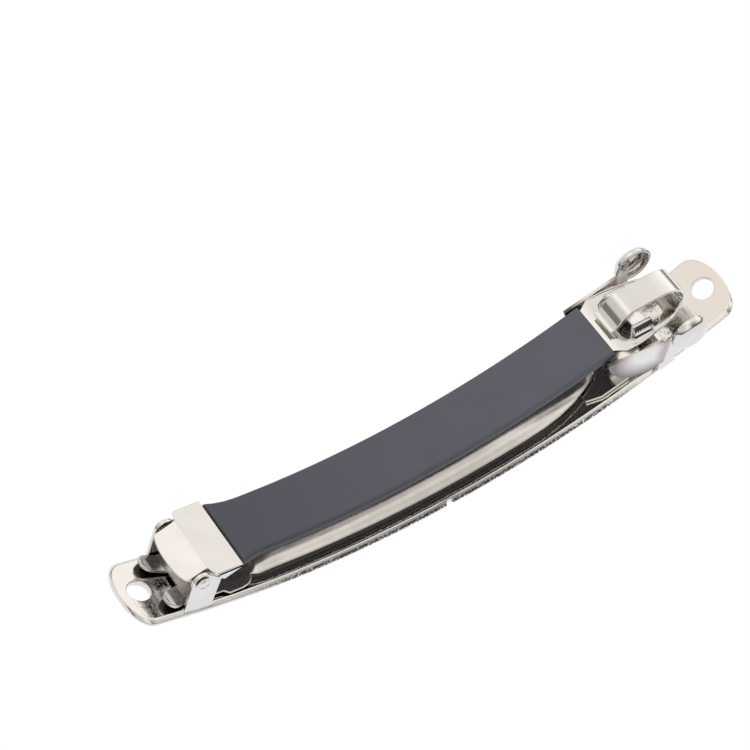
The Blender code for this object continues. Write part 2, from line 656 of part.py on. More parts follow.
def make_sleeve(material, hinge):
    """Rubber sleeve drawn over the strip, wider where it meets the cap."""
    clear = ARM_SHEET / 2 + SLEEVE_CLEARANCE
    outside = clear + SLEEVE_WALL
    outer = []
    inner = []
    steps = 26
    places = [SLEEVE_START + SLEEVE_FLARE_LENGTH * share for share in SLEEVE_FLARE_SHARES]
    rest = SLEEVE_LENGTH - SLEEVE_FLARE_LENGTH
    places += [SLEEVE_START + SLEEVE_FLARE_LENGTH + rest * k / steps for k in range(steps + 1)]
    for x in places:
        share = max(0.0, 1 - (x - SLEEVE_START) / SLEEVE_FLARE_LENGTH)
        half = SLEEVE_WIDTH / 2 + SLEEVE_FLARE * share * share
        outer.append(sleeve_ring(x, half, outside, outside, SLEEVE_CHAMFER))
        inner.append(sleeve_ring(x, ARM_WIDTH / 2 + SLEEVE_CLEARANCE, clear, clear, BORE_CHAMFER))
    return add_object("rubber_sleeve", tube(outer, inner), material, hinge)


def bar_point(x):
    """Middle of the bar's sheet at its edges, above the base."""
    lead = BAR_FLARE_X + BAR_EAR_X
    share = min(max((x - PIN_X) / lead, 0.0), 1.0)
    clearance = BAR_SEAT + (BAR_CLEARANCE - BAR_SEAT) * share * share * (3 - 2 * share)
    px, pz, normal = base_point(run_at(x), BASE_SHEET + clearance + BAR_SHEET / 2)
    return px, pz


TAIL_CROWN_SHARE = 0.12       # shares of the bar's full crown
NECK_CROWN_SHARE = 0.2
FLARE_CROWN_SHARE = 0.8
# Places round the collar's front corner, with shares of the narrowing
COLLAR_SHARES = ((0.4, 0.09), (0.7, 0.3), (0.9, 0.6), (1.0, 1.0))
# Places between neck and flare, with shares of the widening and of the crown
SHOULDER_SHARES = ((0.35, 0.4, 0.3), (0.65, 0.75, 0.55))
# Places along the tapered free end, with shares of the half width and of the crown
TAPER_SHARES = (
    (0.2, 0.985, 0.86), (0.4, 0.92, 0.72), (0.6, 0.78, 0.58), (0.78, 0.58, 0.45),
    (0.9, 0.4, 0.37), (0.97, 0.25, 0.32), (1.0, 0.0, 0.3),
)


def bar_stations():
    tail = PIN_X - BAR_TAIL_X
    ears = PIN_X + BAR_EAR_X
    flare = PIN_X + BAR_FLARE_X
    tail_half = BAR_TAIL_WIDTH / 2
    half = BAR_WIDTH / 2
    collar_half = BASE_WIDTH / 2 - BAR_COLLAR_INSET
    neck_half = half - BAR_NECK_INSET
    collar = PIN_X + BAR_COLLAR_X
    round_x = collar + BAR_COLLAR_LENGTH
    neck = PIN_X + BAR_NECK_X
    places = [(x, tail_half, TAIL_CROWN_SHARE) for x in (tail, PIN_X, ears)]
    places += [(x, collar_half, TAIL_CROWN_SHARE) for x in (collar, round_x)]
    for run_share, half_share in COLLAR_SHARES:
        width = collar_half + (neck_half - collar_half) * half_share
        places.append((round_x + (neck - round_x) * run_share, width, NECK_CROWN_SHARE))
    for run_share, half_share, crown_share in SHOULDER_SHARES:
        width = neck_half + (half - neck_half) * half_share
        places.append((neck + (flare - neck) * run_share, width, crown_share))
    steps = 20
    for k in range(steps + 1):
        places.append((flare + (BAR_TAPER_X - flare) * k / steps, half, 1.0 if k else FLARE_CROWN_SHARE))
    for run_share, half_share, crown_share in TAPER_SHARES:
        x = BAR_TAPER_X + (BAR_END_X - BAR_TAPER_X) * run_share
        places.append((x, max(half * half_share, BAR_END_WIDTH / 4), crown_share))
    return [(*bar_point(x), width, BAR_CROWN * crown, 0.0) for x, width, crown in places]


def prong_stations(side):
    """A prong that spreads outward from the bar's tail, with a round end that is turned up."""
    start = PIN_X - BAR_TAIL_X + PRONG_OVERLAP
    end = PIN_X - PRONG_REACH
    height = BASE_SHEET + BAR_SEAT + BAR_SHEET / 2
    depths = [start - end, (start - end + PRONG_TURN) / 2, PRONG_TURN]
    depths += [PRONG_ROUND * share for share in reversed(END_DEPTH_SHARES)]
    stations = []
    for depth in depths:
        turned_up = max(0.0, 1 - depth / PRONG_TURN)
        x, z, normal = base_point(run_at(end + depth), height + PRONG_LIFT * turned_up ** 2)
        half = round_end(depth, PRONG_ROUND, PRONG_WIDTH / 2, 2.0)
        share = depth / (start - end)
        middle = side * (PRONG_SPREAD * (1 - share ** 2) + PRONG_ROOT_Y * share ** 2)
        stations.append((x, z, half, 0.0, middle))
    return stations


def make_bar(material, pivot):
    """Crowned spring bar with a pointed free end and two curled prongs at its tail."""
    strip = ribbon(bar_stations(), flat_section(BAR_SHEET, across=8))
    bar = add_object("tension_bar", strip, material, pivot)
    for side in (-1, 1):
        prong = add_object("helper_prong", ribbon(prong_stations(side), flat_section(PRONG_SHEET)))
        join_shape(bar, prong, "UNION")
    return bar


def make_catch_frame(material):
    """Floor on the base, held by two feet that fold round the base's long edges."""
    stations = []
    steps = 6
    for k in range(steps + 1):
        x = CATCH_START_X + CATCH_LENGTH * k / steps
        px, pz, normal = base_point(run_at(x), BASE_SHEET + CATCH_GAP + CATCH_SHEET / 2)
        share = FLOOR_END_SHARE if k in (0, steps) else 1.0
        stations.append((px, pz, CATCH_WIDTH / 2 * share, 0.0, 0.0))
    frame = add_object("catch_frame", ribbon(stations, flat_section(CATCH_SHEET)), material)
    half = BASE_WIDTH / 2
    top_low = CATCH_GAP + FOOT_TRIM
    top_high = CATCH_GAP + CATCH_SHEET - FOOT_TRIM
    inside = half - FOOT_NOTCH + CATCH_GAP
    outside = inside + FOOT_SHEET
    below = -BASE_SHEET - CATCH_GAP
    root = CATCH_WIDTH / 2 - CATCH_SHEET
    hook = inside - FOOT_HOOK
    section = [
        (root, top_low), (inside, top_low), (inside, below), (hook, below),
        (hook, below - FOOT_SHEET), (outside, below - FOOT_SHEET), (outside, top_high), (root, top_high),
    ]
    for side in (-1, 1):
        rings = []
        for end in (-FOOT_LENGTH / 2, FOOT_LENGTH / 2):
            ring = []
            for y, height in section:
                x, z, normal = base_point(run_at(FOOT_X) + end, BASE_SHEET + height)
                ring.append((x, side * y, z))
            rings.append(ring)
        join_shape(frame, add_object("helper_foot", loft(rings)), "UNION")
    return frame


def wall_outline():
    """Side wall in XZ: tip beside the sleeve, curved lower edge, foot near the base, neck to the pad."""
    top = RING_UNDER - WALL_TOP_GAP
    foot = base_top(WALL_FOOT_X) + WALL_FOOT_GAP
    outline = []
    steps = 8
    for k in range(steps + 1):
        turn = math.pi / 2 * k / steps
        x = WALL_FOOT_X - (WALL_FOOT_X - WALL_TIP_X) * math.cos(turn) ** WALL_CURVE_SHARE
        outline.append((x, top - (top - foot) * math.sin(turn) ** WALL_CURVE_SHARE))
    neck_end = WALL_END_X + NECK_LENGTH
    step_up = CATCH_GAP + CATCH_SHEET + NECK_GAP
    outline.append((WALL_END_X, base_top(WALL_END_X) + WALL_FOOT_GAP))
    outline.append((WALL_END_X, base_top(WALL_END_X) + step_up))
    outline.append((neck_end, base_top(neck_end) + step_up))
    outline.append((neck_end, top))
    return outline


def wall_y(x, z):
    """Inner face of the wall at a place and height. It leans out and spreads towards the pad."""
    top = RING_UNDER - WALL_TOP_GAP
    foot = base_top(WALL_FOOT_X) + WALL_FOOT_GAP
    spread = (WALL_NECK_Y - WALL_TIP_Y) / (WALL_END_X + NECK_LENGTH - WALL_TIP_X)
    foot_top_y = WALL_TIP_Y + spread * (WALL_FOOT_X - WALL_TIP_X)
    lean = (foot_top_y - WALL_FOOT_Y) / (top - foot)
    return WALL_TIP_Y + spread * (x - WALL_TIP_X) - lean * (top - z)


def make_catch_prong(name, side, material, hinge):
    """Side wall, hook through the window of the arm, and domed finger pad."""
    rings = []
    for depth in (0.0, WALL_SHEET):
        rings.append([(x, side * (wall_y(x, z) + depth), z) for x, z in wall_outline()])
    prong = add_object(name, loft(rings), material, hinge)
    leg_out = WINDOW_WIDTH / 2 - HOOK_LEG_GAP
    leg_in = leg_out - CATCH_SHEET
    link_top = RING_UNDER - HOOK_LINK_DROP
    link_low = link_top - CATCH_SHEET
    hook_z = RING_TOP + HOOK_LIFT
    low_y = wall_y(HOOK_X, link_low) + WALL_SHEET / 2
    top_y = wall_y(HOOK_X, link_top) + WALL_SHEET / 2
    rail = WINDOW_WIDTH / 2
    section = [
        (leg_in, link_low), (low_y, link_low), (top_y, link_top),
        (leg_out, link_top), (leg_out, hook_z), (rail + HOOK_CATCH, hook_z),
        (rail + HOOK_CATCH / 2, hook_z + HOOK_TIP),
        (leg_out, hook_z + HOOK_HEIGHT), (leg_in, hook_z + HOOK_HEIGHT),
    ]
    rings = [[(x, side * y, z) for y, z in section] for x in (HOOK_X, HOOK_X + HOOK_LENGTH)]
    join_shape(prong, add_object("helper_hook", loft(rings)), "UNION")
    join_shape(prong, add_object("helper_pad", pad_shell(side)), "UNION")
    return prong


def pad_shell(side):
    """Round domed pad, bulging outward, with an even wall and a raised ring."""
    centre_z = RING_TOP + PAD_Z_RISE
    sides = 28
    rings = []
    for sheet, shares in ((PAD_SHEET, PAD_SHARES), (0.0, PAD_SHARES[::-1])):
        for share in shares:
            dish = PAD_DISH * (1 - share / PAD_INNER_SHARE) if share < PAD_INNER_SHARE else 0.0
            bulge = PAD_BULGE * math.sqrt(max(0.0, 1 - share ** PAD_POWER_SHARE))
            y = PAD_RIM_Y + sheet + bulge - dish
            ring = []
            for n in range(sides):
                turn = 2 * math.pi * n / sides
                radius = PAD_RADIUS * share
                ring.append((PAD_X + radius * math.cos(turn), side * y, centre_z + radius * math.sin(turn)))
            rings.append(ring)
    return loft(rings)


def make_empty(name, location):
    empty = bpy.data.objects.new(name, None)
    bpy.context.collection.objects.link(empty)
    empty.location = location
    bpy.context.view_layer.update()
    return empty


def main():
    clear_scene()
    nickel = make_material("nickel", (0.80, 0.78, 0.74), 1.0, 0.14)
    spring = make_material("spring_steel", (0.86, 0.83, 0.77), 1.0, 0.18)
    rubber = make_material("rubber", (0.095, 0.098, 0.120), 0.0, 0.62)
    arm_hinge = make_empty("arm_hinge", (PIN_X, 0, PIN_Z))
    bar_x, bar_z, normal = base_point(run_at(PIN_X), BASE_SHEET + BAR_SEAT)
    bar_pivot = make_empty("bar_pivot", (bar_x, 0, bar_z))
    make_base(nickel)
    make_pin(nickel)
    make_arm(nickel, arm_hinge)
    make_sleeve(rubber, arm_hinge)
    make_bar(spring, bar_pivot)
    make_catch_frame(spring)
    flex_x = (WALL_FOOT_X + WALL_END_X) / 2
    flex_z = base_top(flex_x) + WALL_FOOT_GAP
    for name, side in (("catch_prong_near", -1), ("catch_prong_far", 1)):
        root = make_empty(name + "_flex", (flex_x, side * (WALL_FOOT_Y + WALL_SHEET / 2), flex_z))
        make_catch_prong(name, side, spring, root)


main()
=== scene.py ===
"""Looks of the hinged hair clip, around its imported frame. Metres, +Z up."""
import math

import bmesh
import bpy
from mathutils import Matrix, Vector


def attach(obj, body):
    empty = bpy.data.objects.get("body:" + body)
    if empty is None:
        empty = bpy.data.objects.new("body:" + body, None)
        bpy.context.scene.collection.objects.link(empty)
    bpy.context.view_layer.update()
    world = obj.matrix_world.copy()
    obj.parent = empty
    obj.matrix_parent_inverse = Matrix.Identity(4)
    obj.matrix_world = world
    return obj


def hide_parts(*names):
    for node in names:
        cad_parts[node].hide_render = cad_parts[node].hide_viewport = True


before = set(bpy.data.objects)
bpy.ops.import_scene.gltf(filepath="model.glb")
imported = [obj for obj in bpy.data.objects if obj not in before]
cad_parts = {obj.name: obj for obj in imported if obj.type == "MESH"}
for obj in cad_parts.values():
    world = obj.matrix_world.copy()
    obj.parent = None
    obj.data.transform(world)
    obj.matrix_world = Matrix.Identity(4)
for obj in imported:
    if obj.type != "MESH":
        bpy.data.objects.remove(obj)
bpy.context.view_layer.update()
MM = 0.001

# Camera
AZIMUTH = -32.547
ELEVATION = 55.582
AIM = (2.636 * MM, 18.308 * MM, 0.9 * MM)
DISTANCE = 449.086 * MM
SENSOR = 36.0
LENS = 148.70
CLIP_NEAR = 10 * MM
CLIP_FAR = 10.0

# Pieces made from the frame's shapes: distance at which points merge, bevel width, segments, body
MERGE = 0.045 * MM
REFINED = {
    "base_plate": (MERGE, 0.12 * MM, 3, "base"),
    "clasp_arm": (MERGE, 0.16 * MM, 3, "arm"),
    "rubber_sleeve": (MERGE, 0.28 * MM, 5, "arm"),
    "tension_bar": (0.12 * MM, 0.1 * MM, 3, "bar"),
    "catch_frame": (MERGE, 0.07 * MM, 2, "base"),
    "catch_prong_near": (MERGE, 0.08 * MM, 3, "prong_near"),
    "catch_prong_far": (MERGE, 0.08 * MM, 3, "prong_far"),
}
FLAT_DEGREES = 0.5            # faces that differ by less become one
EDGE_DEGREES = 32             # edges sharper than this are rounded

# The bar's prongs, lifted a hair in the looks
TAIL_START = -39.8 * MM
TAIL_LENGTH = 2.0 * MM
TAIL_RAISE = 0.1 * MM

# The bar's crown, raised a little in the looks over its broad part
CROWN_RAISE = 0.35 * MM
CROWN_HALF = 5.0 * MM
CROWN_X = (-33 * MM, -27 * MM, 14 * MM, 24 * MM)

# The tongue's foot, drawn out to a soft bend: its path in the frame and its handles here, x and z
FOOT_OLD = (
    (32.4 * MM, 17.98 * MM), (30.43 * MM, 17.885 * MM), (29.63 * MM, 17.42 * MM), (28.95 * MM, 15.45 * MM),
)
FOOT_NEW = (
    (32.4 * MM, 17.98 * MM), (30.5 * MM, 17.88 * MM), (30.35 * MM, 15.35 * MM), (28.87 * MM, 15.2 * MM),
)
FOOT_LOW = 14.95 * MM
FOOT_START = 28.0 * MM
FOOT_CUTS = 14
FOOT_STEPS = 200              # places tried on the old path for each point
FOOT_SNAP = 0.002 * MM
FOOT_MARGIN = 0.001 * MM

# Turned pin: the steps of its heads are outward from the face and inward from the full radius
PIN_AXIS = (-39.7 * MM, 13.981 * MM)
PIN_RADIUS = 0.65 * MM
PIN_SIDES = 40
HEAD_FACE = 5.42 * MM
HEAD_RADIUS = 1.1 * MM
HEAD_HEIGHT = 0.35 * MM
HEAD_TIP = 0.12               # share of the radius
HEAD_STEPS = (
    (0.0, 0.08 * MM), (0.05 * MM, 0.0), (0.14 * MM, 0.0), (0.22 * MM, 0.1 * MM),
    (0.24 * MM, 0.26 * MM), (0.14 * MM, 0.34 * MM), (0.26 * MM, 0.44 * MM), (0.32 * MM, 0.7 * MM),
)

# Rings on the pads: radius, thickness, height over the face and teeth
PAD_CENTRE = (39.2 * MM, 14.1 * MM)
PAD_FACE = 6.75 * MM
PAD_BEAD = (2.72 * MM, 0.16 * MM, 0.12 * MM, 44)
PAD_GROOVE = (1.5 * MM, 0.13 * MM, 0.95 * MM, 0)
PAD_SECTION = 10
TOOTH_STEPS = 4
PLAIN_STEPS = 56
KNURL_SHARE = 0.45

# Beads on the ring plate's long edges, thinner at their ends
RAIL_RADIUS = 0.15 * MM
RAIL_TIP = 0.25
RAIL_TAPER = 3
RAIL_COUNT = 36
RAIL_SECTION = 8
RAIL_PATH = (
    (29.5 * MM, 5.05 * MM, 14.72 * MM), (32.1 * MM, 4.98 * MM, 14.79 * MM),
    (34.4 * MM, 4.71 * MM, 14.81 * MM), (36.2 * MM, 4.42 * MM, 14.81 * MM),
    (37.8 * MM, 4.03 * MM, 14.81 * MM), (38.7 * MM, 3.67 * MM, 14.81 * MM),
    (39.4 * MM, 3.31 * MM, 14.81 * MM),
)
SHARP_DEGREES = 40            # turned and beaded pieces are shaded sharp above this

# Textures: scale and detail
CLOUD = (260.0, 3.0)
GRAIN = (900.0, 5.0)
DRAWN_GRAIN = (1500.0, 5.0)
PIT_GRAIN = (2600.0, 2.0)
RIM_GRAIN = (3600.0, 2.0)
RUBBER_CLOUD = (140.0, 3.0)
RUBBER_GRAIN = (5200.0, 4.0)
NOISE_RANGE = (0.3, 0.7)      # most values of a texture lie in it
BUMP_DISTANCE = 0.02 * MM

# Nickel finishes: colour, clouded colour, roughness from and to, strength of the ripple
BRIGHT = ((0.70, 0.675, 0.645), (0.66, 0.63, 0.595), (0.05, 0.12), 0.15)
DRAWN = ((0.69, 0.655, 0.615), (0.60, 0.555, 0.51), (0.19, 0.28), 0.3)
PRESSED = ((0.69, 0.665, 0.635), (0.64, 0.61, 0.575), (0.06, 0.15), 0.45)
RIBBED = ((0.70, 0.665, 0.645), (0.65, 0.615, 0.595), (0.06, 0.14), 0.3)
DRAWN_STRETCH = (0.03, 1, 1)
# Painted shade: the drawn bar's downward faces are coloured near black
DRAWN_UNDERSIDE_SHADE = (0.08, 0.075, 0.07)
UNDERSIDE_SHADE_RANGE = (-0.6, -0.2)    # upward parts of the normal over which the underside ends
PIT_RANGE = (0.55, 0.75)
PIT_SHARE = 0.8

# Lines over a finish: axis, pitch, height, and where along X they start and where they are full
DRAWN_LINES = ("Y", 1.1 * MM, 1.4, -32 * MM, -29 * MM)
RIB_LINES = ("X", 0.4 * MM, 0.8, 36.6 * MM, 35.8 * MM)

# Painted shade of a dish on the side walls, darker towards their curved edge and at their neck, by shares of
# the way from the middle of their top to their curved edge
WALL_TOP = (33.5 * MM, 0.0, 13.9 * MM)
WALL_REACH = (6.8 * MM, 7.9 * MM)
WALL_BRIGHT = 0.46
WALL_SHADED = 0.72
WALL_DARK = 0.92
WALL_SHADE = (0.40, 0.33, 0.315)
WALL_EDGE_SHADE = (0.11, 0.09, 0.09)
WALL_LAST = 36.2 * MM         # no shade from here on, before the pad
WALL_FADE = 0.3 * MM
NECK_START = 33.9 * MM        # the wall bends here towards the pad
NECK_FULL = 35.3 * MM

# Painted dark reflection, broken, along the base's rounded long edges
RIM_START = 5.2 * MM
RIM_FULL = 5.42 * MM
RIM_FADE = (26 * MM, 33 * MM)
RIM_BROKEN = (0.52, 0.6)
RIM_PAINTED_REFLECTION = (0.09, 0.08, 0.08)

# Warmer plating at the catch end of the base
WARM = (0.66, 0.60, 0.53)
WARM_START = 41.0 * MM
WARM_END = 49.5 * MM

# Rubber's colours, from the hinge end to the catch end: the change between them is painted light along the
# sleeve
RUBBER_HINGE = (0.050, 0.052, 0.072)
RUBBER_CATCH = (0.088, 0.090, 0.116)
# Painted shade: the colour of the sleeve's downward faces
RUBBER_UNDERSIDE_SHADE = (0.07, 0.07, 0.077)
RUBBER_START = -30 * MM
RUBBER_END = 22 * MM
RUBBER_SHADE = 0.88           # brightness of the hinge end's colour where the moulding is cloudy
RUBBER_CLOUDED = 0.25         # how far the colour goes there at most
RUBBER_UNDERSIDE_SHADE_RANGE = (-0.25, 0.35)
RUBBER_ROUGH = (0.52, 0.66)
RUBBER_BUMP = 0.25

# Levels of the white tent over the three parts of a direction
WORLD_Z = ((-1.0, 0.1), (0.02, 0.08), (0.2, 0.45), (0.34, 1.0))
WORLD_Y = ((-0.85, 0.22), (-0.5, 0.95), (-0.3, 1.0))
WORLD_OPEN_X = ((-0.15, 1.0), (0.1, 0.6), (0.35, 0.1))
WORLD_X = (
    (-0.6, 0.62), (-0.42, 0.72), (-0.2, 0.94), (-0.05, 1.02),
    (0.1, 0.98), (0.3, 0.78), (0.6, 0.9), (0.9, 1.16),
)
WORLD_LEVEL = 1.36
WORLD_COLOUR = (1.0, 0.985, 0.96)
WHITE = (1.0, 1.0, 1.0)
FLOOR_HALF = 1.5
FLOOR_DROP = 0.2 * MM
FLOOR_GREY = (0.85, 0.85, 0.85)
FLOOR_SHINE = (1.08, 1.12, 1.17)


def view_back(azimuth, elevation):
    """Unit vector from the clip towards the camera."""
    turn = math.radians(azimuth)
    rise = math.radians(elevation)
    return Vector((math.sin(turn) * math.cos(rise), -math.cos(turn) * math.cos(rise), math.sin(rise)))


def make_camera():
    data = bpy.data.cameras.new("camera")
    data.sensor_width = SENSOR
    data.lens = LENS
    data.clip_start = CLIP_NEAR
    data.clip_end = CLIP_FAR
    camera = bpy.data.objects.new("camera", data)
    bpy.context.collection.objects.link(camera)
    back = view_back(AZIMUTH, ELEVATION)
    camera.location = Vector(AIM) + back * DISTANCE
    camera.rotation_euler = back.to_track_quat("Z", "Y").to_euler()
    bpy.context.scene.camera = camera


def calculate(tree, operation, *values, kind="ShaderNodeMath", output="Value"):
    """Output of a math node over numbers and other nodes' outputs."""
    node = tree.nodes.new(kind)
    node.operation = operation
    for socket, value in zip(node.inputs, values):
        if isinstance(value, (float, tuple)):
            socket.default_value = value
        else:
            tree.links.new(value, socket)
    return node.outputs[output]


def times(tree, first, second):
    return calculate(tree, "MULTIPLY", first, second)


def larger(tree, first, second):
    return calculate(tree, "MAXIMUM", first, second)


def total(tree, first, second, share):
    """First plus a share of second."""
    return calculate(tree, "MULTIPLY_ADD", second, share, first)


def part_of(tree, where, axis, signed=True):
    """One part of a place or direction, with or without its sign."""
    parts = tree.nodes.new("ShaderNodeSeparateXYZ")
    tree.links.new(where, parts.inputs["Vector"])
    return parts.outputs[axis] if signed else calculate(tree, "ABSOLUTE", parts.outputs[axis])


def away_from(tree, where, centre, reach):
    """Distance from a place, over an ellipse of this reach along X and Z."""
    kind = "ShaderNodeVectorMath"
    scale = (1 / reach[0], 0.0, 1 / reach[1])
    offset = calculate(tree, "SUBTRACT", where, centre, kind=kind, output="Vector")
    scaled = calculate(tree, "MULTIPLY", offset, scale, kind=kind, output="Vector")
    return calculate(tree, "LENGTH", scaled, kind=kind)


def noise(tree, where, scale, detail, stretch=(1, 1, 1)):
    """Noise over the object's own coordinates, stretched along an axis."""
    mapping = tree.nodes.new("ShaderNodeMapping")
    mapping.inputs["Scale"].default_value = stretch
    tree.links.new(where, mapping.inputs["Vector"])
    texture = tree.nodes.new("ShaderNodeTexNoise")
    texture.inputs["Scale"].default_value = scale
    texture.inputs["Detail"].default_value = detail
    tree.links.new(mapping.outputs["Vector"], texture.inputs["Vector"])
    return texture.outputs["Fac"]


def spread(tree, value, low, high, given=NOISE_RANGE):
    """Maps values in the given range to a range from low to high."""
    node = tree.nodes.new("ShaderNodeMapRange")
    for name, limit in zip(("From Min", "From Max", "To Min", "To Max"), (*given, low, high)):
        node.inputs[name].default_value = limit
    tree.links.new(value, node.inputs["Value"])
    return node.outputs["Result"]


def beyond(tree, value, start, end):
    """Rises from 0 to 1 between two places."""
    return spread(tree, value, 0.0, 1.0, (start, end))


def blend_colours(tree, factor, first, second):
    """First colour at 0 and second at 1. Each is a colour or a node's output."""
    mix = tree.nodes.new("ShaderNodeMix")
    mix.data_type = "RGBA"
    for name, colour in (("A", first), ("B", second)):
        if isinstance(colour, tuple):
            mix.inputs[name].default_value = (*colour, 1)
        else:
            tree.links.new(colour, mix.inputs[name])
    tree.links.new(factor, mix.inputs["Factor"])
    return mix.outputs["Result"]


def bump(tree, shader, height, strength):
    """Lets a height tilt the shader's normal."""
    node = tree.nodes.new("ShaderNodeBump")
    node.inputs["Strength"].default_value = strength
    node.inputs["Distance"].default_value = BUMP_DISTANCE
    tree.links.new(height, node.inputs["Height"])
    tree.links.new(node.outputs["Normal"], shader.inputs["Normal"])


def new_material(name):
    """A material, with its node tree and its shader."""
    material = bpy.data.materials.new(name)
    material.use_nodes = True
    return material, material.node_tree, material.node_tree.nodes["Principled BSDF"]


def painted_wall_shade(tree, where, shown):
    """Paints shade on the side walls towards their curved edge and their neck."""
    place = part_of(tree, where, "X")
    distance = away_from(tree, where, WALL_TOP, WALL_REACH)
    inside = beyond(tree, place, WALL_LAST, WALL_LAST - WALL_FADE)
    neck = beyond(tree, place, NECK_START, NECK_FULL)
    shade = larger(tree, beyond(tree, distance, WALL_BRIGHT, WALL_SHADED), neck)
    shown = blend_colours(tree, times(tree, shade, inside), shown, WALL_SHADE)
    edge = beyond(tree, distance, WALL_SHADED, WALL_DARK)
    return blend_colours(tree, times(tree, edge, inside), shown, WALL_EDGE_SHADE)


def warm_end_and_painted_rim(tree, where, shown):
    """Warms the catch end and paints a broken dark reflection along the long edges."""
    warm = beyond(tree, part_of(tree, where, "X"), WARM_START, WARM_END)
    shown = blend_colours(tree, warm, shown, WARM)
    outside = beyond(tree, part_of(tree, where, "Y", signed=False), RIM_START, RIM_FULL)
    middle = beyond(tree, part_of(tree, where, "X", signed=False), RIM_FADE[1], RIM_FADE[0])
    broken = spread(tree, noise(tree, where, *RIM_GRAIN), 1.0, 0.0, RIM_BROKEN)
    # painted dark reflection along the long edges, broken by noise
    return blend_colours(tree, times(tree, times(tree, outside, middle), broken), shown, RIM_PAINTED_REFLECTION)


def lined(tree, where, height, axis, pitch, share, start, full):
    """Adds lines of a pitch across an axis to a height."""
    waves = calculate(tree, "SINE", times(tree, part_of(tree, where, axis), 2 * math.pi / pitch))
    waves = times(tree, waves, beyond(tree, part_of(tree, where, "X"), start, full))
    return total(tree, height, waves, share)


def nickel(name, finish, grain=GRAIN, stretch=(1, 1, 1), lines=None, pits=0.0, underside_shade=None, shaded=None):
    """Plated sheet, clouded and softly rippled. Lines, pits, a painted underside shade and other painted
    shades, reflections and warmth from a given function are extras.
    """
    colour, clouded, roughness, strength = finish
    material, tree, shader = new_material(name)
    shader.inputs["Metallic"].default_value = 1.0
    coordinates = tree.nodes.new("ShaderNodeTexCoord")
    where = coordinates.outputs["Object"]
    cloud = noise(tree, where, *CLOUD)
    shown = blend_colours(tree, spread(tree, cloud, 0.0, 1.0), colour, clouded)
    # painted shade on the faces that turn downward
    if underside_shade:
        upward = part_of(tree, coordinates.outputs["Normal"], "Z")
        shown = blend_colours(tree, beyond(tree, upward, *UNDERSIDE_SHADE_RANGE), underside_shade, shown)
    if shaded:
        shown = shaded(tree, where, shown)
    tree.links.new(shown, shader.inputs["Base Color"])
    height = noise(tree, where, *grain, stretch)
    tree.links.new(spread(tree, height, *roughness), shader.inputs["Roughness"])
    if pits:
        dents = beyond(tree, noise(tree, where, *PIT_GRAIN), *PIT_RANGE)
        height = total(tree, height, dents, pits)
    if lines:
        height = lined(tree, where, height, *lines)
    bump(tree, shader, height, strength)
    return material


def rubber_material():
    """Matt slate rubber with a fine moulded grain; its colour lightens towards the catch end as painted
    light, and its underside has a painted shade of its own.
    """
    material, tree, shader = new_material("rubber")
    coordinates = tree.nodes.new("ShaderNodeTexCoord")
    where = coordinates.outputs["Object"]
    # painted light: the sleeve's colour lightens along X towards the catch end
    along = beyond(tree, part_of(tree, where, "X"), RUBBER_START, RUBBER_END)
    top = blend_colours(tree, along, RUBBER_HINGE, RUBBER_CATCH)
    shaded = tuple(part * RUBBER_SHADE for part in RUBBER_HINGE)
    cloud = spread(tree, noise(tree, where, *RUBBER_CLOUD), RUBBER_CLOUDED, 0.0)
    top = blend_colours(tree, cloud, top, shaded)
    # painted shade on the sleeve's downward faces
    upward = beyond(tree, part_of(tree, coordinates.outputs["Normal"], "Z"), *RUBBER_UNDERSIDE_SHADE_RANGE)
    tree.links.new(blend_colours(tree, upward, RUBBER_UNDERSIDE_SHADE, top), shader.inputs["Base Color"])
    fine = noise(tree, where, *RUBBER_GRAIN)
    tree.links.new(spread(tree, fine, *RUBBER_ROUGH), shader.inputs["Roughness"])
    bump(tree, shader, fine, RUBBER_BUMP)
    return material


def raise_tail(points):
    """Lifts the bar's prongs a hair towards their tips, so that they clear the base at the bar's limit."""
    for point in points:
        point.z += TAIL_RAISE * min(max((TAIL_START - point.x) / TAIL_LENGTH, 0.0), 1.0)


def raise_crown(points):
    """Rounds the bar's back a little more, fading out towards its ends."""
    start, full, last, end = CROWN_X
    for point in points:
        along = min((point.x - start) / (full - start), (end - point.x) / (end - last), 1.0)
        along = max(along, 0.0)
        across = max(1 - (point.y / CROWN_HALF) ** 2, 0.0)
        point.z += CROWN_RAISE * across * along * along * (3 - 2 * along)


def on_path(path, share):
    """Point and direction at a share of the length of a broken line."""
    lengths = [math.dist(start, end) for start, end in zip(path, path[1:])]
    rest = share * sum(lengths)
    for (start, end), length in zip(zip(path, path[1:]), lengths):
        if rest <= length or end == path[-1]:
            along = Vector(end) - Vector(start)
            return Vector(start) + along * (rest / length), along.normalized()
        rest -= length


def on_curve(handles, share):
    """Point and direction at a share of a curve with four handles."""
    a, b, c, d = (Vector(handle) for handle in handles)
    rest = 1 - share
    point = a * rest ** 3 + b * 3 * rest * rest * share + c * 3 * rest * share * share + d * share ** 3
    along = (b - a) * rest * rest + (c - b) * 2 * rest * share + (d - c) * share * share
    return point, along.normalized()


def on_tongue(point):
    """True for the tongue, above the ring plate and beyond the sleeve's end."""
    return point.z > FOOT_LOW and point.x > FOOT_START


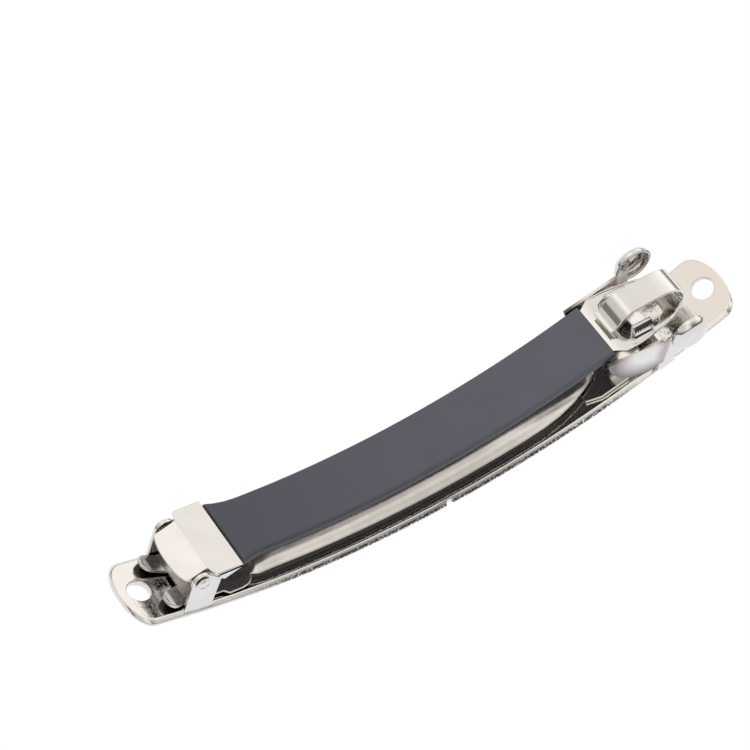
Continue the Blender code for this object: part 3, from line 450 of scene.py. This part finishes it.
def soften_foot(work):
    """Cuts the tongue's foot across and lays it along a soft curve."""
    for k in range(FOOT_CUTS):
        place, along = on_path(FOOT_OLD, k / FOOT_CUTS)
        faces = [face for face in work.faces if all(on_tongue(vertex.co) for vertex in face.verts)]
        edges = dict.fromkeys(edge for face in faces for edge in face.edges)
        vertices = dict.fromkeys(vertex for face in faces for vertex in face.verts)
        bmesh.ops.bisect_plane(work, geom=[*vertices, *edges, *faces], dist=FOOT_SNAP,
                               plane_co=(place.x, 0, place.y), plane_no=(along.x, 0, along.y))
    shares = [k / FOOT_STEPS for k in range(FOOT_STEPS + 1)]
    for vertex in work.verts:
        if on_tongue(vertex.co) and vertex.co.x < FOOT_OLD[0][0] + FOOT_MARGIN:
            flat = Vector((vertex.co.x, vertex.co.z))
            best = min(shares, key=lambda share: (on_path(FOOT_OLD, share)[0] - flat).length)
            old, old_along = on_path(FOOT_OLD, best)
            new, new_along = on_curve(FOOT_NEW, best)
            across = (flat - old).dot(Vector((-old_along.y, old_along.x)))
            vertex.co.x, vertex.co.z = new + Vector((-new_along.y, new_along.x)) * across


def new_object(name, points, faces, material):
    """An object with smooth shading and one material."""
    mesh = bpy.data.meshes.new(name)
    mesh.from_pydata(points, [], faces)
    mesh.polygons.foreach_set("use_smooth", [True] * len(mesh.polygons))
    mesh.materials.append(material)
    made = bpy.data.objects.new(name, mesh)
    bpy.context.collection.objects.link(made)
    return made


def refined(name, material):
    """Shows a piece through the frame's own shape with its edges rounded."""
    merge, width, segments, body = REFINED[name]
    work = bmesh.new()
    work.from_mesh(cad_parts[name].data)
    bmesh.ops.remove_doubles(work, verts=work.verts, dist=merge)
    bmesh.ops.dissolve_limit(work, angle_limit=math.radians(FLAT_DEGREES), verts=work.verts, edges=work.edges)
    if name == "clasp_arm":
        soften_foot(work)
    work.verts.index_update()
    points = [vertex.co.copy() for vertex in work.verts]
    if name == "tension_bar":
        raise_tail(points)
        raise_crown(points)
    faces = [[vertex.index for vertex in face.verts] for face in work.faces]
    work.free()
    piece = new_object(name + "_skin", points, faces, material)
    edges = piece.modifiers.new("edges", "BEVEL")
    edges.width = width
    edges.segments = segments
    edges.limit_method = "ANGLE"
    edges.angle_limit = math.radians(EDGE_DEGREES)
    edges.use_clamp_overlap = False
    normals = piece.modifiers.new("normals", "WEIGHTED_NORMAL")
    normals.keep_sharp = False
    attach(piece, body)
    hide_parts(name)


def add_piece(name, points, faces, material, body):
    """A piece of trim on a body."""
    piece = new_object(name, points, faces, material)
    piece.data.set_sharp_from_angle(angle=math.radians(SHARP_DEGREES))
    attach(piece, body)
    return piece


def circle(sides):
    """Turns round a circle, in equal steps."""
    return [2 * math.pi * k / sides for k in range(sides)]


def ring_faces(count, sides, closed):
    """Quads between rings of points, with end caps where the run of rings is open."""
    faces = []
    for k in range(count if closed else count - 1):
        for n in range(sides):
            first, second = k * sides, (k + 1) % count * sides
            faces.append((first + n, first + (n + 1) % sides, second + (n + 1) % sides, second + n))
    if not closed:
        faces.append(tuple(reversed(range(sides))))
        faces.append(tuple(range((count - 1) * sides, count * sides)))
    return faces


def lathe_pin(material):
    """The pin with domed heads, each with a turned groove."""
    half = [(HEAD_FACE, PIN_RADIUS)]
    half += [(HEAD_FACE + out, HEAD_RADIUS - inward) for out, inward in HEAD_STEPS]
    half += [(HEAD_FACE + HEAD_HEIGHT, HEAD_RADIUS * HEAD_TIP)]
    profile = [(-y, radius) for y, radius in reversed(half)] + half
    x, z = PIN_AXIS
    points = []
    for y, radius in profile:
        for turn in circle(PIN_SIDES):
            points.append((x + radius * math.cos(turn), y, z - radius * math.sin(turn)))
    faces = ring_faces(len(profile), PIN_SIDES, False)
    pin = add_piece("hinge_pin_turned", points, faces, material, "base")
    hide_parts("hinge_pin")


def pad_ring(name, side, ring, material):
    """A bead round a pad's dish, knurled where it has teeth."""
    radius, thickness, depth, teeth = ring
    x, z = PAD_CENTRE
    around = teeth * TOOTH_STEPS if teeth else PLAIN_STEPS
    points = []
    for k, turn in enumerate(circle(around)):
        raised = teeth and k % TOOTH_STEPS < TOOTH_STEPS // 2
        swell = thickness * (1 + (KNURL_SHARE if raised else 0.0))
        for roll in circle(PAD_SECTION):
            reach = radius + swell * math.cos(roll)
            y = side * (PAD_FACE + depth + swell * math.sin(roll))
            points.append((x + reach * math.cos(turn), y, z + side * reach * math.sin(turn)))
    body = "prong_near" if side < 0 else "prong_far"
    add_piece(name, points, ring_faces(around, PAD_SECTION, True), material, body)


def on_rail(place):
    """Y and Z of the rail's path at a place along X."""
    for (x0, y0, z0), (x1, y1, z1) in zip(RAIL_PATH, RAIL_PATH[1:]):
        if place <= x1 or (x1, y1, z1) == RAIL_PATH[-1]:
            share = (place - x0) / (x1 - x0)
            return y0 + (y1 - y0) * share, z0 + (z1 - z0) * share


def rail(name, side, material):
    """A thin raised bead along one long edge of the ring plate."""
    last = RAIL_COUNT - 1
    points = []
    for k in range(RAIL_COUNT):
        place = RAIL_PATH[0][0] + (RAIL_PATH[-1][0] - RAIL_PATH[0][0]) * k / last
        y, z = on_rail(place)
        swell = (1 - RAIL_TIP) * math.sin(math.pi * k / last) * RAIL_TAPER
        radius = RAIL_RADIUS * min(1.0, RAIL_TIP + swell)
        for roll in circle(RAIL_SECTION):
            points.append((place, side * (y + radius * math.cos(roll)), z + side * radius * math.sin(roll)))
    faces = ring_faces(RAIL_COUNT, RAIL_SECTION, False)
    if side < 0:
        faces = [tuple(reversed(face)) for face in faces]
    add_piece(name, points, faces, material, "arm")


def floor_material():
    """White to the camera and in reflections, and pale grey to all other light."""
    material, tree, shader = new_material("floor")
    shader.inputs["Base Color"].default_value = (*FLOOR_GREY, 1)
    path = tree.nodes.new("ShaderNodeLightPath")
    glossy = path.outputs["Is Glossy Ray"]
    glow = tree.nodes.new("ShaderNodeEmission")
    glow.inputs["Strength"].default_value = 1.0
    tree.links.new(blend_colours(tree, glossy, WHITE, FLOOR_SHINE), glow.inputs["Color"])
    mix = tree.nodes.new("ShaderNodeMixShader")
    seen = larger(tree, path.outputs["Is Camera Ray"], glossy)
    for socket, source in zip(mix.inputs, (seen, shader.outputs[0], glow.outputs[0])):
        tree.links.new(source, socket)
    tree.links.new(mix.outputs[0], tree.nodes["Material Output"].inputs["Surface"])
    return material


def make_floor():
    size = FLOOR_HALF
    corners = [(-size, -size, 0), (size, -size, 0), (size, size, 0), (-size, size, 0)]
    floor = new_object("floor", corners, [(0, 1, 2, 3)], floor_material())
    floor.location = (0, 0, -FLOOR_DROP)


def ramp_of(tree, value, stops):
    """Grey levels over a value from -1 to 1."""
    ramp = tree.nodes.new("ShaderNodeValToRGB")
    elements = ramp.color_ramp.elements
    while len(elements) < len(stops):
        elements.new(0.5)
    for element, (place, level) in zip(elements, stops):
        element.position = (place + 1) / 2
        element.color = (level, level, level, 1)
    tree.links.new(beyond(tree, value, -1.0, 1.0), ramp.inputs["Fac"])
    return ramp.outputs["Color"]


def make_world():
    """White tent with a dark horizon, a dim side behind the camera and a bright panel overhead."""
    world = bpy.data.worlds.new("world")
    bpy.context.scene.world = world
    world.use_nodes = True
    tree = world.node_tree
    where = tree.nodes.new("ShaderNodeTexCoord").outputs["Generated"]
    x, y, z = (part_of(tree, where, axis) for axis in "XYZ")
    opened = larger(tree, ramp_of(tree, y, WORLD_Y), ramp_of(tree, x, WORLD_OPEN_X))
    level = times(tree, ramp_of(tree, z, WORLD_Z), opened)
    level = times(tree, level, ramp_of(tree, x, WORLD_X))
    back = tree.nodes["Background"]
    back.inputs["Color"].default_value = (*WORLD_COLOUR, 1)
    tree.links.new(times(tree, level, WORLD_LEVEL), back.inputs["Strength"])


def main():
    bpy.context.scene.view_settings.view_transform = "Standard"
    make_camera()
    make_floor()
    make_world()
    bright = nickel("bright_nickel", BRIGHT)
    drawn = nickel("drawn_nickel_painted_underside", DRAWN, DRAWN_GRAIN, DRAWN_STRETCH, DRAWN_LINES, underside_shade=DRAWN_UNDERSIDE_SHADE)
    pressed = nickel("pressed_nickel_painted_rim", PRESSED, pits=PIT_SHARE, shaded=warm_end_and_painted_rim)
    ribbed = nickel("ribbed_nickel_painted_shade", RIBBED, lines=RIB_LINES, shaded=painted_wall_shade)
    finishes = {
        "rubber_sleeve": rubber_material(), "tension_bar": drawn, "base_plate": pressed,
        "catch_prong_near": ribbed, "catch_prong_far": ribbed,
    }
    for name in REFINED:
        refined(name, finishes.get(name, bright))
    lathe_pin(bright)
    for side, label in ((-1, "near"), (1, "far")):
        pad_ring("pad_bead_" + label, side, PAD_BEAD, pressed)
        pad_ring("pad_groove_" + label, side, PAD_GROOVE, bright)
        rail("ring_rail_" + label, side, bright)


main()
